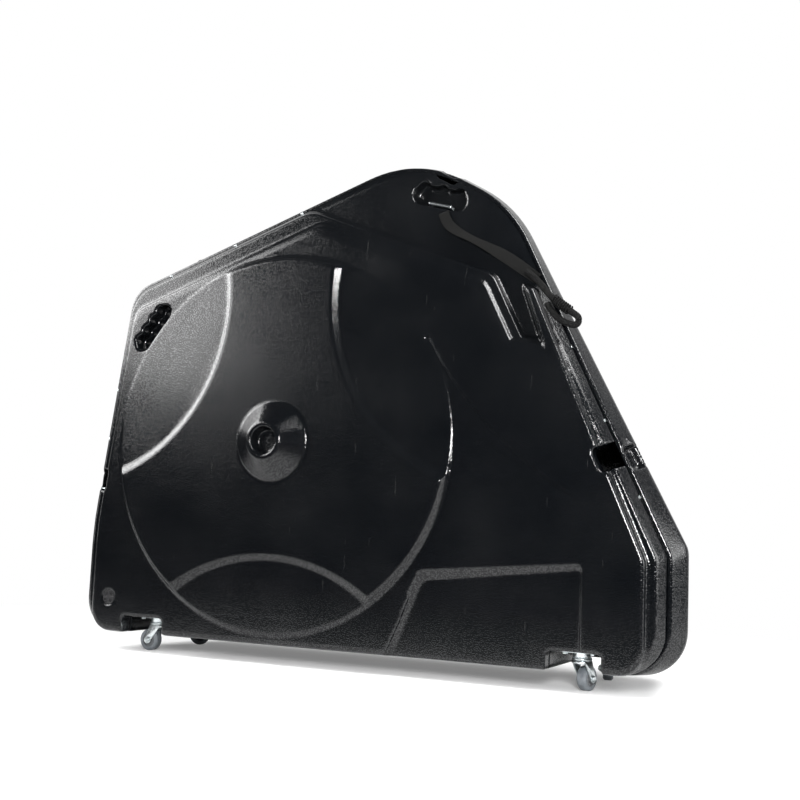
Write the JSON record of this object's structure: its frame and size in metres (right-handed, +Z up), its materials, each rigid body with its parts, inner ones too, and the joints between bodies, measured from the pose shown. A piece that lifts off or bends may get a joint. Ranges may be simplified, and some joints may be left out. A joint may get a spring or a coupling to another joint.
{
  "type": "bike travel case",
  "caption": "Hard bicycle travel case: shallow lid with wheel disc and hub cone on a deep base, hand holds, pull strap with wound hand loop, swivel casters underneath",
  "frame": {"origin": "floor level under the middle of the overall box", "axes": "+X along the case towards its tapered end, -Y out of the front face with the wheel disc, +Z up"},
  "size_m": [1.153, 0.336, 0.8903],
  "materials": {
    "shell_plastic": "black moulded plastic with a fine pebble grain and a semi-gloss sheen",
    "foam": "dark grey open-cell foam sheet",
    "zinc_steel": "bright zinc-plated pressed steel",
    "plug_plastic": "black plastic",
    "webbing": "black woven webbing, slightly greyed",
    "grip_cord": "black cord wound tightly round the grip",
    "wheel_plastic": "grey moulded plastic",
    "tyre_rubber": "grey hard rubber tread"
  },
  "bodies": {
    "base": {"base_shell": "shell_plastic", "base_foam": "foam", "caster_backings": "zinc_steel", "caster_bolts": "zinc_steel", "caster_nuts": "zinc_steel", "front_left_plate": "zinc_steel", "front_left_bearing": "zinc_steel", "front_right_plate": "zinc_steel", "front_right_bearing": "zinc_steel", "rear_left_plate": "zinc_steel", "rear_left_bearing": "zinc_steel", "rear_right_plate": "zinc_steel", "rear_right_bearing": "zinc_steel"},
    "lid": {"lid_shell": "shell_plastic", "lid_foam": "foam", "rim_tongues": "shell_plastic", "tongue_rivets": "zinc_steel", "corner_plug": "plug_plastic", "strap_staple": "zinc_steel", "pull_strap": "webbing", "hand_loop": "webbing", "grip_winding": "grip_cord"},
    "front_left_swivel": {"front_left_fork": "zinc_steel", "front_left_kingpin": "zinc_steel", "front_left_axle": "zinc_steel", "front_left_axle_nut": "zinc_steel"},
    "front_left_wheel": {"front_left_wheel_core": "wheel_plastic", "front_left_tyre": "tyre_rubber"},
    "front_right_swivel": {"front_right_fork": "zinc_steel", "front_right_kingpin": "zinc_steel", "front_right_axle": "zinc_steel", "front_right_axle_nut": "zinc_steel"},
    "front_right_wheel": {"front_right_wheel_core": "wheel_plastic", "front_right_tyre": "tyre_rubber"},
    "rear_left_swivel": {"rear_left_fork": "zinc_steel", "rear_left_kingpin": "zinc_steel", "rear_left_axle": "zinc_steel", "rear_left_axle_nut": "zinc_steel"},
    "rear_left_wheel": {"rear_left_wheel_core": "wheel_plastic", "rear_left_tyre": "tyre_rubber"},
    "rear_right_swivel": {"rear_right_fork": "zinc_steel", "rear_right_kingpin": "zinc_steel", "rear_right_axle": "zinc_steel", "rear_right_axle_nut": "zinc_steel"},
    "rear_right_wheel": {"rear_right_wheel_core": "wheel_plastic", "rear_right_tyre": "tyre_rubber"}
  },
  "joints": [
    {"name": "lid_lift_off", "type": "slide", "parent": "base", "child": "lid", "axis": [0, -1, 0], "range_m": [0, 0.35]},
    {"name": "front_left_swivel_turn", "type": "hinge", "parent": "base", "child": "front_left_swivel", "pos_m": [-0.4115, -0.064, 0.05], "axis": [0, 0, 1], "continuous": true},
    {"name": "front_left_wheel_roll", "type": "hinge", "parent": "front_left_swivel", "child": "front_left_wheel", "pos_m": [-0.4275, -0.064, 0.02], "axis": [0, -1, 0], "continuous": true},
    {"name": "front_right_swivel_turn", "type": "hinge", "parent": "base", "child": "front_right_swivel", "pos_m": [0.4105, -0.064, 0.05], "axis": [0, 0, 1], "continuous": true},
    {"name": "front_right_wheel_roll", "type": "hinge", "parent": "front_right_swivel", "child": "front_right_wheel", "pos_m": [0.41464, -0.04855, 0.02], "axis": [-0.9659, 0.2588, 0], "continuous": true},
    {"name": "rear_left_swivel_turn", "type": "hinge", "parent": "base", "child": "rear_left_swivel", "pos_m": [-0.4115, 0.104, 0.05], "axis": [0, 0, 1], "continuous": true},
    {"name": "rear_left_wheel_roll", "type": "hinge", "parent": "rear_left_swivel", "child": "rear_left_wheel", "pos_m": [-0.42476, 0.09505, 0.02], "axis": [0.5592, -0.829, 0], "continuous": true},
    {"name": "rear_right_swivel_turn", "type": "hinge", "parent": "base", "child": "rear_right_swivel", "pos_m": [0.4105, 0.104, 0.05], "axis": [0, 0, 1], "continuous": true},
    {"name": "rear_right_wheel_roll", "type": "hinge", "parent": "rear_right_swivel", "child": "rear_right_wheel", "pos_m": [0.40663, 0.11952, 0.02], "axis": [-0.9703, -0.2419, 0], "continuous": true}
  ]
}
